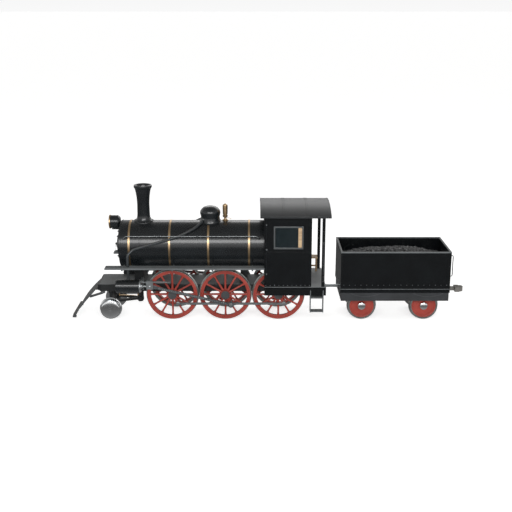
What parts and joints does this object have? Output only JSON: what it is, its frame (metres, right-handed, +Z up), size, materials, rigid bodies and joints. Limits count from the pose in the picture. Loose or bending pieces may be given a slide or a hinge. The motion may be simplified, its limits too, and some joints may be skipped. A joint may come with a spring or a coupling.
{
  "type": "steam locomotive with tender",
  "caption": "Tender steam locomotive: round boiler with chimney and dome, spoked red driving wheels joined by rods, cab and an open coal tender.",
  "frame": {"origin": "under the middle of the whole machine, level with the lowest points of the wheel flanges", "axes": "+Z up, -X towards the front of the engine, -Y towards its left side; the rails run along X with their tops 27 mm above the origin"},
  "size_m": [10.9099, 2.17, 3.682],
  "materials": {
    "frame_paint": "satin black paint on plate steel",
    "deck_paint": "grey deck paint, worn",
    "pilot_paint": "dark grey paint",
    "cast_box": "as cast, painted",
    "gloss_black": "gloss black paint",
    "hot_black": "matt heat resisting black",
    "roof_paint": "grey roof paint",
    "bright_steel": "machined and oiled",
    "oily_steel": "machined, dark with oil",
    "rod_steel": "machined, dull",
    "brass": "polished",
    "pipe_paint": "black lagging paint",
    "rail_steel": "polished by hands",
    "window_metal": "satin",
    "glass": "plain",
    "bench_wood": "oiled hardwood",
    "wheel_red": "red enamel",
    "tyre_steel": "turned tread, dull",
    "polished_steel": "polished",
    "skirt_paint": "dark grey paint",
    "coal": "broken lumps",
    "coupler_iron": "as cast"
  },
  "bodies": {
    "engine": {"main_frame": "frame_paint", "axle_boxes": "cast_box", "front_beam": "frame_paint", "pilot": "pilot_paint", "smokebox_saddle": "frame_paint", "boiler_bracket": "frame_paint", "cylinders": "gloss_black", "guide_bars": "bright_steel", "smokebox": "gloss_black", "chimney": "gloss_black", "headlamp": "brass", "lamp_bracket": "frame_paint", "boiler_barrel": "gloss_black", "boiler_bands": "brass", "steam_dome": "gloss_black", "whistle": "brass", "steam_pipes": "pipe_paint", "boiler_handrails": "rail_steel", "running_boards": "deck_paint", "firebox": "hot_black", "backhead": "hot_black", "cab_floor": "deck_paint", "cab_front": "gloss_black", "cab_side_left": "gloss_black", "cab_side_right": "gloss_black", "cab_posts": "gloss_black", "cab_roof": "roof_paint", "cab_window_frames": "window_metal", "cab_windows": "glass", "cab_seat": "bench_wood", "cab_steps": "frame_paint"},
    "smokebox_door": {"smokebox_door": "gloss_black"},
    "firehole_door": {"firehole_door": "hot_black"},
    "driver_axle_1": {"driver_wheels_1": "wheel_red", "driver_tyres_1": "tyre_steel"},
    "driver_axle_2": {"driver_wheels_2": "wheel_red", "driver_tyres_2": "tyre_steel"},
    "driver_axle_3": {"driver_wheels_3": "wheel_red", "driver_tyres_3": "tyre_steel"},
    "side_rod_left": {"side_rod_left": "rod_steel"},
    "side_rod_right": {"side_rod_right": "rod_steel"},
    "crosshead_left": {"crosshead_left": "bright_steel"},
    "crosshead_right": {"crosshead_right": "bright_steel"},
    "main_rod_left": {"main_rod_left": "oily_steel"},
    "main_rod_right": {"main_rod_right": "oily_steel"},
    "pony_truck": {"pony_frame": "frame_paint"},
    "pony_axle": {"pony_wheels": "polished_steel"},
    "drawbar": {"drawbar": "rod_steel"},
    "tender": {"tender_frame": "frame_paint", "tender_skirt": "skirt_paint", "tender_body": "gloss_black", "coal": "coal", "tender_handrails": "rail_steel", "tender_coupler": "coupler_iron"},
    "tender_axle_1": {"tender_wheels_1": "wheel_red", "tender_tyres_1": "tyre_steel"},
    "tender_axle_2": {"tender_wheels_2": "wheel_red", "tender_tyres_2": "tyre_steel"}
  },
  "joints": [
    {"name": "driver_spin_1", "type": "hinge", "parent": "engine", "child": "driver_axle_1", "pos_m": [-2.661, 0, 0.727], "axis": [0, 1, 0], "continuous": true},
    {"name": "driver_spin_2", "type": "hinge", "parent": "engine", "child": "driver_axle_2", "pos_m": [-1.204, 0, 0.727], "axis": [0, 1, 0], "continuous": true},
    {"name": "driver_spin_3", "type": "hinge", "parent": "engine", "child": "driver_axle_3", "pos_m": [0.253, 0, 0.727], "axis": [0, 1, 0], "continuous": true},
    {"name": "side_rod_left_pin", "type": "hinge", "parent": "driver_axle_2", "child": "side_rod_left", "pos_m": [-1.05022, -0.7, 0.49901], "axis": [0, 1, 0], "continuous": true},
    {"name": "side_rod_right_pin", "type": "hinge", "parent": "driver_axle_2", "child": "side_rod_right", "pos_m": [-0.97601, 0.7, 0.88078], "axis": [0, 1, 0], "continuous": true},
    {"name": "crosshead_left_slide", "type": "slide", "parent": "engine", "child": "crosshead_left", "axis": [1, 0, 0], "range_m": [-0.1, 0.45]},
    {"name": "crosshead_right_slide", "type": "slide", "parent": "engine", "child": "crosshead_right", "axis": [1, 0, 0], "range_m": [-0.1166, 0.4334]},
    {"name": "main_rod_left_swing", "type": "hinge", "parent": "crosshead_left", "child": "main_rod_left", "pos_m": [-3.255, -0.795, 1.027], "axis": [0, 1, 0], "range_deg": [-12.8, 1.2]},
    {"name": "main_rod_right_swing", "type": "hinge", "parent": "crosshead_right", "child": "main_rod_right", "pos_m": [-3.23841, 0.795, 1.027], "axis": [0, 1, 0], "range_deg": [-3.1, 11]},
    {"name": "pony_swivel", "type": "hinge", "parent": "engine", "child": "pony_truck", "pos_m": [-3.62, 0, 0.437], "axis": [0, 0, 1], "range_deg": [-5, 5]},
    {"name": "pony_spin", "type": "hinge", "parent": "pony_truck", "child": "pony_axle", "pos_m": [-4.385, 0, 0.307], "axis": [0, 1, 0], "continuous": true},
    {"name": "smokebox_door_hinge", "type": "hinge", "parent": "engine", "child": "smokebox_door", "pos_m": [-4.145, 0.452, 2.022], "axis": [0, 0, -1], "range_deg": [0, 110]},
    {"name": "firehole_door_hinge", "type": "hinge", "parent": "engine", "child": "firehole_door", "pos_m": [0.473, -0.262, 1.462], "axis": [0, 0, -1], "range_deg": [0, 95]},
    {"name": "drawbar_swing", "type": "hinge", "parent": "engine", "child": "drawbar", "pos_m": [1.44, 0, 0.802], "axis": [0, 0, 1], "range_deg": [-6, 6]},
    {"name": "tender_swing", "type": "hinge", "parent": "drawbar", "child": "tender", "pos_m": [2.15, 0, 0.802], "axis": [0, 0, 1], "range_deg": [-6, 6]},
    {"name": "tender_spin_1", "type": "hinge", "parent": "tender", "child": "tender_axle_1", "pos_m": [2.552, 0, 0.407], "axis": [0, 1, 0], "continuous": true},
    {"name": "tender_spin_2", "type": "hinge", "parent": "tender", "child": "tender_axle_2", "pos_m": [4.265, 0, 0.407], "axis": [0, 1, 0], "continuous": true}
  ],
  "couplings": [
    {"joint": "driver_spin_2", "follows": "driver_spin_1", "ratio": 1},
    {"joint": "driver_spin_3", "follows": "driver_spin_1", "ratio": 1},
    {"joint": "side_rod_left_pin", "follows": "driver_spin_1", "ratio": -1},
    {"joint": "side_rod_right_pin", "follows": "driver_spin_1", "ratio": -1}
  ]
}
